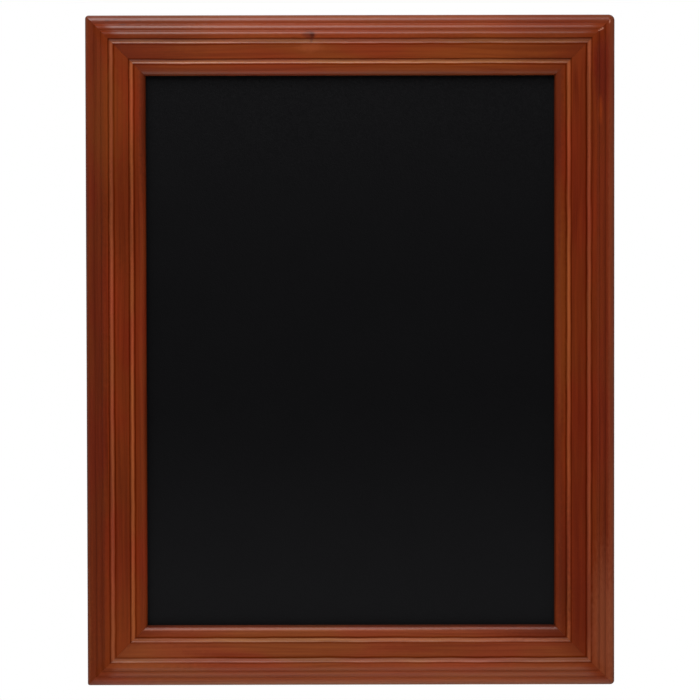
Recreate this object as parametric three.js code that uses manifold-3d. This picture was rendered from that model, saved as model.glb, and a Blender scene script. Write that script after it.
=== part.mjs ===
// A wall chalkboard: a mitred frame of fluted wooden moulding around a black writing board.
// Two D-rings swing on its back to hang it by, and two bumpers keep it off the wall.
// Millimetres. Seen from the front, X runs to the right and Z up, and the front faces -Y.
// The origin is the point of the wall that lies behind the middle of the board.

import * as THREE from 'three';
import { mergeVertices } from 'three/addons/utils/BufferGeometryUtils.js';
import Module from 'manifold-3d';

const wasm = await Module();
wasm.setup();

// The opening that shows the writing surface
const openingWidth = 300;
const openingHeight = 405;

// Widths across the moulding, from its outer edge in to the opening
const noseWidth = 6.4;
const reedWidth = 4.9;
const shoulderWidth = 5.5;
const outerFluteWidth = 4.6;
const bandWidth = 10.4;
const innerFluteWidth = 4.3;
const lipWidth = 8.3;

// Heights of the moulding over its flat back
const sideHeight = 10.5;
const noseHeight = 15.2;
const reedHeight = 17;
const shoulderHeight = 19.5;
const bandHeight = 18.6;
const lipHeight = 17.8;
const shelfHeight = 11;

// How round the moulding's members are
const noseEndAngle = 72;
const reedRise = 1;
const shoulderRound = 3;
const fluteDepth = 1.2;
const lipRound = 4.2;
const backEase = 0.6;

// The rabbet behind the lip, which takes the board
const rabbetWidth = 6.5;
const boardClearance = 0.5;

// The mitres are sanded flush after gluing, and each corner came out its own way
const topLeftCorner = 2.5;
const topRightCorner = 4.3;
const bottomRightCorner = 3;
const bottomLeftCorner = 1.5;
const glueLine = 0.1;

// The board: a black laminate on a fibreboard core, balanced by a liner on the back
const sheetThickness = 0.8;
const coreThickness = 4;
const linerThickness = 0.5;

// V-shaped steel nails across each mitre, driven in from the back
const vNailThickness = 0.6;
const vNailLeg = 4.2;
const vNailDepth = 10;
const vNailSink = 0.4;
const vNailSpread = 50;
const outerNailInset = 11;
const innerNailMargin = 9;

// Flat steel points that hold the board in the rabbet
const pointThickness = 0.5;
const pointWidth = 6;
const pointReach = 8;
const pointDriven = 7;
const pointTip = 2.5;
const pointsPerStile = 3;
const pointsPerRail = 2;

// Room that a slot or a hole leaves round the piece that sits in it
const fitGap = 0.3;

// The wall bumpers
const bumperThickness = 4;
const bumperRadius = 5;
const bumperEdge = 0.8;
const bumperInset = 21.9;

// The D-rings: wire, and the folded strap that holds each one
const ringWire = 1.8;
const ringWidth = 12.5;
const ringCorner = 2.2;
const ringButtGap = 0.3;
const strapThickness = 0.6;
const strapWidth = 9.5;
const strapLength = 21;
const strapFold = 0.1;
const strapTuck = 45;
const hangerDrop = 100.9;

// The screw that holds each strap
const screwDrop = 16;
const screwRadius = 1.75;
const screwLength = 12;
const screwTip = 3;
const screwHeadRadius = 3.5;
const screwHeadHeight = 1.9;
const recessWidth = 1;
const recessSpan = 4;
const recessDepth = 1.2;

// How finely curves are stepped
const sectionSteps = 4;
const cornerSteps = 5;
const wireSides = 10;
const wireSteps = 48;
const turnSteps = 32;
const loopSteps = 16;

const degrees = Math.PI / 180;

const faceWidth = noseWidth + reedWidth + shoulderWidth + outerFluteWidth
  + bandWidth + innerFluteWidth + lipWidth;
const outerWidth = openingWidth + 2 * faceWidth;
const outerHeight = openingHeight + 2 * faceWidth;
const boardWidth = openingWidth + 2 * (rabbetWidth - boardClearance);
const boardHeight = openingHeight + 2 * (rabbetWidth - boardClearance);
const backOfMoulding = -bumperThickness;
const backOfBoard = shelfHeight - sheetThickness - coreThickness - linerThickness;

// Materials

function finish(color, roughness, metalness) {
  return new THREE.MeshStandardMaterial({ color, roughness, metalness });
}

const stainedWood = finish(0x7a3a1e, 0.35, 0);
const blackLaminate = finish(0x151517, 0.6, 0);
const fibreboard = finish(0x9a7650, 0.9, 0);
const linerPaper = finish(0x8a8175, 0.9, 0);
const nailSteel = finish(0x8d8f92, 0.4, 1);
const zincPlate = finish(0xb9bcc0, 0.3, 1);
const bumperRubber = finish(0x1d1d1e, 0.8, 0);

// Solids: a geometry becomes a manifold solid to be cut, and a geometry again afterwards

function solidOf(geometry) {
  const bare = geometry.clone();
  bare.deleteAttribute('normal');
  bare.deleteAttribute('uv');
  const merged = mergeVertices(bare, 1e-5);
  const corners = merged.index.array;
  const kept = [];
  for (let i = 0; i < corners.length; i += 3) {
    const [a, b, c] = corners.slice(i, i + 3);
    if (a !== b && b !== c && a !== c) {
      kept.push(a, b, c);
    }
  }
  const vertProperties = new Float32Array(merged.attributes.position.array);
  const triVerts = new Uint32Array(kept);
  return new wasm.Manifold(new wasm.Mesh({ numProp: 3, vertProperties, triVerts }));
}

function geometryOf(solid) {
  const { vertProperties, triVerts } = solid.getMesh();
  const geometry = new THREE.BufferGeometry();
  geometry.setAttribute('position', new THREE.BufferAttribute(vertProperties, 3));
  geometry.setIndex(new THREE.BufferAttribute(triVerts, 1));
  geometry.computeVertexNormals();
  return geometry;
}

// A mesh's shape as another mesh sees it, wherever the two are placed
function seenFrom(mesh, other) {
  mesh.updateWorldMatrix(true, false);
  other.updateWorldMatrix(true, false);
  const move = other.matrixWorld.clone().invert().multiply(mesh.matrixWorld);
  return solidOf(mesh.geometry.clone().applyMatrix4(move));
}

function cut(mesh, tool) {
  mesh.geometry = geometryOf(solidOf(mesh.geometry).subtract(seenFrom(tool, mesh)));
}

function keepInside(mesh, tool) {
  mesh.geometry = geometryOf(solidOf(mesh.geometry).intersect(seenFrom(tool, mesh)));
}

function piece(name, geometry, material) {
  const mesh = new THREE.Mesh(geometry, material);
  mesh.name = name;
  return mesh;
}

// Outlines

function circle(radius, sides) {
  const points = [];
  for (let i = 0; i < sides; i += 1) {
    const turn = (2 * Math.PI * i) / sides;
    points.push(new THREE.Vector2(radius * Math.cos(turn), radius * Math.sin(turn)));
  }
  return new THREE.Shape(points);
}

// Draws an arc from the path's last point to (u, h). It stands proud of its chord by the rise,
// or is sunk below it where the rise is negative.
function arcTo(path, u, h, rise) {
  const start = path.currentPoint.clone();
  const end = new THREE.Vector2(u, h);
  const chord = end.clone().sub(start);
  const half = chord.length() / 2;
  const height = Math.abs(rise);
  const radius = (half * half + height * height) / (2 * height);
  const outward = new THREE.Vector2(-chord.y, chord.x).normalize().multiplyScalar(Math.sign(rise));
  const centre = start.clone().add(end).multiplyScalar(0.5);
  centre.addScaledVector(outward, height - radius);
  const from = start.clone().sub(centre).angle();
  const to = end.clone().sub(centre).angle();
  path.absarc(centre.x, centre.y, radius, from, to, rise > 0);
}

// The outline of sheet metal of one thickness, bent along a line of points
function bentStrip(points, thickness) {
  const left = [];
  const right = [];
  points.forEach((point, i) => {
    const before = points[Math.max(i - 1, 0)];
    const after = points[Math.min(i + 1, points.length - 1)];
    const into = point.clone().sub(i > 0 ? before : point);
    const away = after.clone().sub(i < points.length - 1 ? point : after);
    const along = into.normalize().add(away.normalize()).normalize();
    const bend = i > 0 && i < points.length - 1 ? along.dot(away) : 1;
    const side = new THREE.Vector2(-along.y, along.x).multiplyScalar(thickness / 2 / bend);
    left.push(point.clone().add(side));
    right.unshift(point.clone().sub(side));
  });
  return new THREE.Shape([...left, ...right]);
}

// Extrudes an outline drawn in X and Z, from y = 0 to the given depth along +Y
function plate(outline, depth, curveSegments = cornerSteps) {
  const geometry = new THREE.ExtrudeGeometry(outline, { depth, curveSegments, bevelEnabled: false });
  return geometry.rotateX(Math.PI / 2).translate(0, depth, 0);
}

// The moulding. In its section, u is the distance in from the outer edge and h the height
// over the flat back.

function mouldingSection() {
  const section = new THREE.Shape();
  const noseEnd = noseEndAngle * degrees;
  const noseRun = noseWidth / (1 + Math.cos(noseEnd));
  let u = noseWidth + reedWidth;
  section.moveTo(backEase, 0);
  section.lineTo(0, backEase);
  section.lineTo(0, sideHeight);
  section.absellipse(noseRun, sideHeight, noseRun, noseHeight - sideHeight, Math.PI, noseEnd, true);
  arcTo(section, u, reedHeight, reedRise);
  const shoulderRise = shoulderHeight - reedHeight;
  section.absellipse(u + shoulderRound, reedHeight, shoulderRound, shoulderRise, Math.PI, Math.PI / 2, true);
  u += shoulderWidth;
  section.lineTo(u, shoulderHeight);
  u += outerFluteWidth;
  arcTo(section, u, bandHeight, -fluteDepth);
  u += bandWidth;
  section.lineTo(u, bandHeight);
  u += innerFluteWidth;
  arcTo(section, u, lipHeight, -fluteDepth);
  section.lineTo(faceWidth - lipRound, lipHeight);
  section.absarc(faceWidth - lipRound, lipHeight - lipRound, lipRound, Math.PI / 2, 0, true);
  section.lineTo(faceWidth, shelfHeight);
  section.lineTo(faceWidth - rabbetWidth, shelfHeight);
  section.lineTo(faceWidth - rabbetWidth, 0);
  return section;
}

// One side of the frame, lying as the top rail does: its outer edge on z = 0 and its back on
// y = 0. The section is swept along the side, and each of its points stops at the mitre.
function mouldingLength(length) {
  const sweep = new THREE.ExtrudeGeometry(mouldingSection(), {
    depth: 1,
    curveSegments: sectionSteps,
    bevelEnabled: false,
  });
  const at = sweep.attributes.position;
  const halfGlue = glueLine / Math.SQRT2;
  for (let i = 0; i < at.count; i += 1) {
    const u = at.getX(i);
    const h = at.getY(i);
    const reach = length / 2 - u - halfGlue;
    at.setXYZ(i, (1 - 2 * at.getZ(i)) * reach, -h, -u);
  }
  return sweep;
}

// The plan of a side between its two sanded corners
function sandedPlan(length, startRadius, endRadius) {
  const end = length / 2;
  const foot = -faceWidth - 1;
  const plan = new THREE.Shape();
  plan.moveTo(-end, foot);
  plan.lineTo(-end, -startRadius);
  plan.absarc(startRadius - end, -startRadius, startRadius, Math.PI, Math.PI / 2, true);
  plan.lineTo(end - endRadius, 0);
  plan.absarc(end - endRadius, -endRadius, endRadius, Math.PI / 2, 0, true);
  plan.lineTo(end, foot);
  return plan;
}

function frameSide(name, length, startRadius, endRadius) {
  const side = piece(name, mouldingLength(length), stainedWood);
  const sanded = new THREE.Mesh(plate(sandedPlan(length, startRadius, endRadius), shoulderHeight + 2));
  sanded.position.y = -shoulderHeight - 1;
  keepInside(side, sanded);
  return side;
}

// The four sides in turn, clockwise from the top as seen from the front. A side's group stands
// at the middle of its outer edge, with local +X running on to the next side.
const corners = [topLeftCorner, topRightCorner, bottomRightCorner, bottomLeftCorner];
const sides = [
  { name: 'top_rail', length: outerWidth, span: openingWidth, offset: outerHeight / 2 },
  { name: 'right_stile', length: outerHeight, span: openingHeight, offset: outerWidth / 2 },
  { name: 'bottom_rail', length: outerWidth, span: openingWidth, offset: outerHeight / 2 },
  { name: 'left_stile', length: outerHeight, span: openingHeight, offset: outerWidth / 2 },
];

function placeSide(side, i) {
  const turn = new THREE.Group();
  turn.rotation.y = (i * Math.PI) / 2;
  const group = new THREE.Group();
  group.position.set(0, backOfMoulding, side.offset);
  const mesh = frameSide(side.name, side.length, corners[i], corners[(i + 1) % 4]);
  group.add(mesh);
  turn.add(group);
  return { ...side, turn, group, mesh };
}

// The steel points, on each side's own group

function pointOutline(width, driven, reach, tip) {
  const half = width / 2;
  return new THREE.Shape([
    new THREE.Vector2(-half, -reach),
    new THREE.Vector2(half, -reach),
    new THREE.Vector2(half, driven - tip),
    new THREE.Vector2(0, driven),
    new THREE.Vector2(-half, driven - tip),
  ]);
}

function addPoints(side, count) {
  const rabbetWall = -faceWidth + rabbetWidth;
  for (let i = 0; i < count; i += 1) {
    const along = side.span * ((i + 0.5) / count - 0.5);
    const outline = pointOutline(pointWidth, pointDriven, pointReach, pointTip);
    const point = piece(`${side.name}_point_${i + 1}`, plate(outline, pointThickness), nailSteel);
    point.position.set(along, -backOfBoard, rabbetWall);
    side.group.add(point);
    const slotOutline = pointOutline(
      pointWidth + 2 * fitGap,
      pointDriven + fitGap,
      fitGap,
      pointTip,
    );
    const slot = new THREE.Mesh(plate(slotOutline, pointThickness + 2 * fitGap));
    slot.position.set(along, -backOfBoard - fitGap, rabbetWall);
    side.group.add(slot);
    cut(side.mesh, slot);
    side.group.remove(slot);
  }
}

// The V-nails: each has one leg in either side of its mitre

function vNailOutline(leg, thickness) {
  const spread = vNailSpread * degrees;
  const across = leg * Math.sin(spread);
  const down = -leg * Math.cos(spread);
  const bends = [
    new THREE.Vector2(-across, down),
    new THREE.Vector2(0, 0),
    new THREE.Vector2(across, down),
  ];
  return bentStrip(bends, thickness);
}

// The corner at a side's far end, as a group whose +Z points out along the mitre
function cornerGroup(i) {
  const outerX = outerWidth / 2;
  const outerZ = outerHeight / 2;
  const signs = [[1, 1], [1, -1], [-1, -1], [-1, 1]][i];
  const group = new THREE.Group();
  group.position.set(signs[0] * outerX, backOfMoulding, signs[1] * outerZ);
  group.rotation.y = Math.PI / 4 + (i * Math.PI) / 2;
  return group;
}

function addVNails(group, cornerName, meeting) {
  const insets = {
    outer: outerNailInset,
    inner: faceWidth - rabbetWidth - innerNailMargin,
  };
  Object.entries(insets).forEach(([which, inset]) => {
    const depth = vNailDepth + vNailSink;
    const nail = piece(
      `v_nail_${cornerName}_${which}`,
      plate(vNailOutline(vNailLeg, vNailThickness), vNailDepth),
      nailSteel,
    );
    nail.position.set(0, -depth, -inset * Math.SQRT2);
    group.add(nail);
    const slotOutline = vNailOutline(vNailLeg + fitGap, vNailThickness + 2 * fitGap);
    const slot = new THREE.Mesh(plate(slotOutline, depth + 2 * fitGap));
    slot.position.set(0, -depth - fitGap, -inset * Math.SQRT2);
    group.add(slot);
    meeting.forEach((mesh) => cut(mesh, slot));
    group.remove(slot);
  });
}

// The board in the rabbet, layer behind layer

function boardLayer(name, thickness, front, material) {
  const layer = piece(name, new THREE.BoxGeometry(boardWidth, thickness, boardHeight), material);
  layer.position.y = backOfMoulding - front + thickness / 2;
  return layer;
}

// The hangers. Each group stands on the axis of its ring's straight bar.

const wireRadius = ringWire / 2;
const loopRadius = wireRadius + fitGap + strapThickness / 2;
const pivotHeight = loopRadius + strapThickness / 2;
const foldedLeaf = -loopRadius + strapThickness + strapFold;
const strapFace = foldedLeaf + strapThickness / 2;
const ringHalfWidth = (ringWidth + ringWire) / 2;
const ringReach = ringCorner + ringHalfWidth;
const ringLean = Math.asin((pivotHeight - wireRadius - fitGap) / ringReach);

// The wire's route in the plane of the ring, from one side of its butt joint to the other
class RingRoute extends THREE.Curve {
  constructor() {
    super();
    const start = ringButtGap / 2;
    const side = ringHalfWidth;
    this.flat = new THREE.Path();
    this.flat.moveTo(start, 0);
    this.flat.lineTo(side - ringCorner, 0);
    this.flat.absarc(side - ringCorner, ringCorner, ringCorner, -Math.PI / 2, 0, false);
    this.flat.absarc(0, ringCorner, side, 0, Math.PI, false);
    this.flat.absarc(ringCorner - side, ringCorner, ringCorner, Math.PI, 1.5 * Math.PI, false);
    this.flat.lineTo(-start, 0);
  }

  getPoint(t, target = new THREE.Vector3()) {
    const at = this.flat.getPoint(t);
    return target.set(at.x, 0, at.y);
  }
}

function hangerRing(name) {
  const wire = new THREE.ExtrudeGeometry(circle(wireRadius, wireSides), {
    steps: wireSteps,
    extrudePath: new RingRoute(),
  });
  const ring = piece(name, wire, zincPlate);
  ring.rotation.x = ringLean;
  return ring;
}

// The strap's route seen from its edge: up one leaf, round the bar and down the other leaf
function strapRoute() {
  const route = [new THREE.Vector2(-loopRadius, -strapLength)];
  const tuck = strapTuck * degrees;
  for (let i = 0; i <= loopSteps; i += 1) {
    const turn = Math.PI - ((Math.PI + tuck) * i) / loopSteps;
    route.push(new THREE.Vector2(loopRadius * Math.cos(turn), loopRadius * Math.sin(turn)));
  }
  const last = route[route.length - 1];
  const run = (last.x - foldedLeaf) / Math.tan(tuck);
  route.push(new THREE.Vector2(foldedLeaf, last.y - run));
  route.push(new THREE.Vector2(foldedLeaf, -strapLength));
  return route;
}

function strapPlan() {
  const half = strapWidth / 2;
  const plan = new THREE.Shape();
  plan.moveTo(half, pivotHeight + 1);
  plan.lineTo(-half, pivotHeight + 1);
  plan.lineTo(-half, half - strapLength);
  plan.absarc(0, half - strapLength, half, Math.PI, 2 * Math.PI, false);
  return plan;
}

function hangerStrap(name) {
  const folded = new THREE.ExtrudeGeometry(bentStrip(strapRoute(), strapThickness), {
    depth: strapWidth + 2,
    bevelEnabled: false,
  });
  folded.translate(0, 0, -strapWidth / 2 - 1);
  folded.applyMatrix4(new THREE.Matrix4().makeBasis(
    new THREE.Vector3(0, 1, 0),
    new THREE.Vector3(0, 0, 1),
    new THREE.Vector3(1, 0, 0),
  ));
  const strap = piece(name, folded, zincPlate);
  const plan = new THREE.Mesh(plate(strapPlan(), 4 * pivotHeight, loopSteps));
  plan.position.y = -2 * pivotHeight;
  keepInside(strap, plan);
  const hole = new THREE.Mesh(new THREE.CylinderGeometry(
    screwRadius + fitGap,
    screwRadius + fitGap,
    4 * pivotHeight,
    turnSteps,
  ));
  hole.position.z = -screwDrop;
  cut(strap, hole);
  return strap;
}

function hangerScrew(name) {
  const under = strapFace;
  const profile = [
    new THREE.Vector2(0, under - screwLength),
    new THREE.Vector2(screwRadius, under - screwLength + screwTip),
    new THREE.Vector2(screwRadius, under),
    new THREE.Vector2(screwHeadRadius, under),
  ];
  for (let i = 1; i < 5; i += 1) {
    const turn = (i / 5) * (Math.PI / 2);
    profile.push(new THREE.Vector2(
      screwHeadRadius * Math.cos(turn) ** 0.5,
      under + screwHeadHeight * Math.sin(turn),
    ));
  }
  profile.push(new THREE.Vector2(0, under + screwHeadHeight));
  const screw = piece(name, new THREE.LatheGeometry(profile, turnSteps), zincPlate);
  const recess = new THREE.Mesh(new THREE.BoxGeometry(recessWidth, 2 * recessDepth, recessSpan));
  recess.position.y = under + screwHeadHeight;
  cut(screw, recess);
  recess.rotation.y = Math.PI / 2;
  cut(screw, recess);
  screw.position.z = -screwDrop;
  return screw;
}

function addHanger(parent, which, x, stile) {
  const hanger = new THREE.Group();
  hanger.position.set(x, backOfMoulding + pivotHeight, outerHeight / 2 - hangerDrop);
  parent.add(hanger);
  hanger.add(hangerStrap(`${which}_hanger_strap`));
  hanger.add(hangerRing(`${which}_hanger_ring`));
  hanger.add(hangerScrew(`${which}_hanger_screw`));
  const pilot = new THREE.Mesh(new THREE.CylinderGeometry(
    screwRadius + fitGap,
    screwRadius + fitGap,
    2 * screwLength,
    turnSteps,
  ));
  pilot.position.set(0, strapFace - fitGap, -screwDrop);
  hanger.add(pilot);
  cut(stile, pilot);
  hanger.remove(pilot);
}

function wallBumper(name, x) {
  const profile = [
    new THREE.Vector2(0, 0),
    new THREE.Vector2(bumperRadius, 0),
    new THREE.Vector2(bumperRadius, bumperThickness - bumperEdge),
    new THREE.Vector2(bumperRadius - bumperEdge, bumperThickness),
    new THREE.Vector2(0, bumperThickness),
  ];
  const bumper = piece(name, new THREE.LatheGeometry(profile, turnSteps), bumperRubber);
  bumper.position.set(x, backOfMoulding, bumperInset - outerHeight / 2);
  return bumper;
}

// The whole chalkboard

const chalkboard = new THREE.Group();
const [top, right, bottom, left] = sides.map(placeSide);
[top, right, bottom, left].forEach((side) => chalkboard.add(side.turn));
[top, bottom].forEach((side) => addPoints(side, pointsPerRail));
[left, right].forEach((side) => addPoints(side, pointsPerStile));

const meetings = [
  ['top_right', top, right],
  ['bottom_right', right, bottom],
  ['bottom_left', bottom, left],
  ['top_left', left, top],
];
meetings.forEach(([cornerName, one, other], i) => {
  const group = cornerGroup(i);
  chalkboard.add(group);
  addVNails(group, cornerName, [one.mesh, other.mesh]);
});

chalkboard.add(boardLayer('writing_sheet', sheetThickness, shelfHeight, blackLaminate));
chalkboard.add(boardLayer('core_board', coreThickness, shelfHeight - sheetThickness, fibreboard));
chalkboard.add(boardLayer('back_liner', linerThickness, backOfBoard + linerThickness, linerPaper));

const stileMiddle = outerWidth / 2 - (faceWidth - rabbetWidth) / 2;
addHanger(chalkboard, 'left', -stileMiddle, left.mesh);
addHanger(chalkboard, 'right', stileMiddle, right.mesh);
chalkboard.add(wallBumper('left_bumper', -stileMiddle));
chalkboard.add(wallBumper('right_bumper', stileMiddle));

export default chalkboard;
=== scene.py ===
# %% [markdown]
# A wall chalkboard, dressed for its picture
#
# The real thing is a sheet of matt black laminate in a mitred frame of stained, lacquered wood.
# The frame is a moulding with a rounded nose, a reed, a shoulder and two flutes. On the back
# are steel points, V-nails, two D-rings on folded straps, and two rubber bumpers.
#
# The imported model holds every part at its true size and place. This script loads it as a fixed
# frame, swaps the parts that need softer edges for finer ones, and finishes them all.

# %% Load the fixed frame
import math

import bmesh
import bpy
import numpy as np
from mathutils import Matrix, Vector


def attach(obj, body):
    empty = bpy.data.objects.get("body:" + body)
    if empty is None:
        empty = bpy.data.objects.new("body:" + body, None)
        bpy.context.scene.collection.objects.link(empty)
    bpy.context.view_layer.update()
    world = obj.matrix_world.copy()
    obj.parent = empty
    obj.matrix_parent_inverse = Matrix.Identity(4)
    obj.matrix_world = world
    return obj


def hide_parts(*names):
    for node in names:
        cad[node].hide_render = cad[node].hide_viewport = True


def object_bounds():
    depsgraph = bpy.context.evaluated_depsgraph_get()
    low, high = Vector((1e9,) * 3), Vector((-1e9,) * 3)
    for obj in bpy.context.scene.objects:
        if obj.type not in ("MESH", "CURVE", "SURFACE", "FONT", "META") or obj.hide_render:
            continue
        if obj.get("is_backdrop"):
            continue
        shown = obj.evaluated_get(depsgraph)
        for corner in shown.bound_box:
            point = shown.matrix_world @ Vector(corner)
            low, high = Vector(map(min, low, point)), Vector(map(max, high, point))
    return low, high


MM = 0.001
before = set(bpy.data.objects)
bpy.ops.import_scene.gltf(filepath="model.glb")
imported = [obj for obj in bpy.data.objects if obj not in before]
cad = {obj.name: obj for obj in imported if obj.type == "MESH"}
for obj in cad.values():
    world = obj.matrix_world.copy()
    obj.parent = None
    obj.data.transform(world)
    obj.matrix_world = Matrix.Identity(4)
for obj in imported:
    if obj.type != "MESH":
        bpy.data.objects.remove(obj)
cad_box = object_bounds()
scene = bpy.context.scene
print(len(cad), "parts in", [round(x / MM, 1) for x in cad_box[1] - cad_box[0]], "mm")

# %% [markdown]
# The camera comes first.
# The frame's sides run together a little downwards, so the camera stood above the middle and
# looked down by nearly three degrees. A long lens from four metres gives the flat look.

# %% Set up the camera
CAMERA_PLACE = (-0.0040, -4.0, 0.1971)
CAMERA_TURNS = [(-0.053, "Z"), (-2.822, "X"), (0.108, "Y"), (90, "X")]
LENS = 278.62

camera = bpy.data.objects.new("camera", bpy.data.cameras.new("camera"))
scene.collection.objects.link(camera)
aim = Matrix.Identity(4)
for angle, axis in CAMERA_TURNS:
    aim = aim @ Matrix.Rotation(math.radians(angle), 4, axis)
camera.matrix_world = Matrix.Translation(CAMERA_PLACE) @ aim
camera.data.lens = LENS
camera.data.clip_end = 20
scene.camera = camera
scene.view_settings.view_transform = "Standard"
print("camera at", CAMERA_PLACE, "with a lens of", LENS, "mm")

# %% [markdown]
# Node trees are easier to read as sums. `Signal` stands for an output socket, so that
# `1 - mask * 0.5` builds the Math nodes by itself. `Graph.node` makes any other node, from its
# type, what goes into its sockets, the output that is wanted, and its settings by name.

# %% Sums that build node trees
class Signal:
    """One output socket of a tree, which can be used in Python sums."""

    def __init__(self, graph, socket):
        self.graph = graph
        self.socket = socket

    def out(self, name):
        """Another output of the same node."""
        return Signal(self.graph, pick(self.socket.node.outputs, name))

    def maths(self, operation, *others):
        """A sum that has this value first, then the others."""
        return self.graph.maths(operation, self, *others)

    def __add__(self, other):
        return self.maths("ADD", other)

    def __sub__(self, other):
        return self.maths("SUBTRACT", other)

    def __rsub__(self, other):
        return self.graph.maths("SUBTRACT", other, self)

    def __mul__(self, other):
        return self.maths("MULTIPLY", other)

    def __truediv__(self, other):
        return self.maths("DIVIDE", other)

    def __rtruediv__(self, other):
        return self.graph.maths("DIVIDE", other, self)

    def __pow__(self, other):
        return self.maths("POWER", other)

    __radd__ = __add__
    __rmul__ = __mul__


def pick(sockets, key):
    """A socket by its number, its identifier or its name."""
    if isinstance(key, int):
        return sockets[key]
    return next(s for s in sockets if key in (s.identifier, s.name))


class Graph:
    """A node tree that is being built."""

    def __init__(self, tree, owner=None):
        self.tree = tree
        self.owner = owner

    def node(self, kind, sockets=None, output=0, **settings):
        made = self.tree.nodes.new(kind)
        for name, value in settings.items():
            setattr(made, name, value)
        for key, value in (sockets or {}).items():
            socket = pick(made.inputs, key)
            if isinstance(value, Signal):
                self.tree.links.new(value.socket, socket)
            else:
                socket.default_value = value
        return None if output is None else Signal(self, pick(made.outputs, output))

    def maths(self, operation, *values):
        return self.node("ShaderNodeMath", dict(enumerate(values)), operation=operation)


# %% [markdown]
# A Geometry Nodes tree is a small machine: geometry goes in, sizes are set on its named
# inputs, and a finished part comes out. `run_tree` sets the inputs on a modifier, takes the
# result as a plain mesh, and clears the modifier away, so that what stays is ordinary geometry.

# %% Build and run Geometry Nodes trees
SOCKET_KINDS = {float: "Float", int: "Int", "Material": "Material", "Object": "Object"}


def new_tree(name, inputs):
    """A tree with the named inputs. The second value fetches what an input gives."""
    tree = bpy.data.node_groups.new(name, "GeometryNodeTree")
    for side in ("INPUT", "OUTPUT"):
        tree.interface.new_socket("Geometry", in_out=side, socket_type="NodeSocketGeometry")
    for label, value in inputs.items():
        kind = "NodeSocket" + SOCKET_KINDS[label if value is None else type(value)]
        socket = tree.interface.new_socket(label, in_out="INPUT", socket_type=kind)
        if value is not None:
            socket.default_value = value
    graph = Graph(tree)
    return graph, graph.node("NodeGroupInput").out


def close_tree(graph, geometry, material):
    """Ends a tree in real geometry that has its material."""
    real = graph.node("GeometryNodeRealizeInstances", {0: geometry})
    smooth = graph.node("GeometryNodeSetShadeSmooth", {0: real})
    painted = graph.node("GeometryNodeSetMaterial", {0: smooth, "Material": material})
    graph.node("NodeGroupOutput", {0: painted}, None)
    print("tree", graph.tree.name, "has", len(graph.tree.nodes), "nodes")
    return graph.tree


def plain_mesh(source, name):
    """The object as its modifiers leave it, as a plain object in place of the first."""
    graph = bpy.context.evaluated_depsgraph_get()
    mesh = bpy.data.meshes.new_from_object(source.evaluated_get(graph), depsgraph=graph)
    bpy.data.objects.remove(source)
    mesh.name = name
    return put(mesh, name)


def put(data, name):
    """A mesh or a light as an object of the scene."""
    made = bpy.data.objects.new(name, data)
    scene.collection.objects.link(made)
    return made


def run_tree(tree, source, name, settings):
    """What a tree makes of the source, as a plain object."""
    modifier = source.modifiers.new(name, "NODES")
    modifier.node_group = tree
    for item in tree.interface.items_tree:
        if item.in_out == "INPUT" and item.name in settings:
            modifier[item.identifier] = settings[item.name]
    return plain_mesh(source, name)


def polyline(points, name, closed=False):
    """Points joined by edges, for a tree to use as an outline or a route."""
    count = len(points)
    edges = [(i, (i + 1) % count) for i in range(count if closed else count - 1)]
    mesh = bpy.data.meshes.new(name)
    mesh.from_pydata([tuple(map(float, p)) for p in points], edges, [])
    return put(mesh, name)


# %% [markdown]
# Every finish is a Principled BSDF. What is the same all over is set on its own sockets, and
# only what changes over the surface is linked. All patterns are measured in metres, on the
# object's own coordinates, so a grain line or a speck has its real size.

# %% Helpers for finishes
def srgb(red, green, blue):
    """A colour as a picture shows it, turned into the linear light that nodes use."""
    shares = [c / 255 for c in (red, green, blue)]
    return [c / 12.92 if c <= 0.04045 else ((c + 0.055) / 1.055) ** 2.4 for c in shares] + [1]


def grey(level):
    return [level, level, level, 1]


def new_finish(name):
    material = bpy.data.materials.new(name)
    material.use_nodes = True
    material.node_tree.nodes.clear()
    return Graph(material.node_tree, material)


def close_finish(graph, sockets):
    shader = graph.node("ShaderNodeBsdfPrincipled", sockets, "BSDF")
    graph.node("ShaderNodeOutputMaterial", {"Surface": shader}, None)
    print("finish", graph.owner.name, "has", len(graph.tree.nodes), "nodes")
    return graph.owner


def split(vector):
    x = vector.graph.node("ShaderNodeSeparateXYZ", {0: vector}, "X")
    return x, x.out("Y"), x.out("Z")


def place(graph):
    """Where a point of the surface is, in metres: x, y and z."""
    return split(graph.node("ShaderNodeTexCoord", output="Object"))


def scaled(here, factor):
    """The place in units of a pattern that repeats so many times in a metre."""
    return [part * factor for part in here]


def join(graph, x, y, z):
    return graph.node("ShaderNodeCombineXYZ", {"X": x, "Y": y, "Z": z})


def noise(where, detail=2.0, roughness=0.5):
    """Soft random blotches, one to each unit of the place's three numbers."""
    graph = where[0].graph
    return graph.node("ShaderNodeTexNoise", {
        "Vector": join(graph, *where), "Scale": 1.0, "Detail": detail, "Roughness": roughness,
    }, "Fac")


def ease(value, low, high):
    """0 below the low value and 1 above the high one, with a soft step between."""
    sockets = {"Value": value, "From Min": low, "From Max": high}
    return value.graph.node("ShaderNodeMapRange", sockets, interpolation_type="SMOOTHSTEP")


def ramp(value, stops):
    """A colour for the value, from stops that are each a place from 0 to 1 and a colour."""
    made = value.graph.node("ShaderNodeValToRGB", {"Fac": value})
    elements = made.socket.node.color_ramp.elements
    elements.remove(elements[1])
    for i, (at, colour) in enumerate(stops):
        element = elements.new(at) if i else elements[0]
        element.position = at
        element.color = colour
    return made


def mix(graph, share, first, second, blend="MIX"):
    sockets = {"Factor_Float": share, "A_Color": first, "B_Color": second}
    return graph.node("ShaderNodeMix", sockets, "Result_Color", data_type="RGBA", blend_type=blend)


def bump(height, depth):
    """Relief of so many metres."""
    sockets = {"Height": height, "Distance": depth, "Strength": 1.0}
    return height.graph.node("ShaderNodeBump", sockets)


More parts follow.
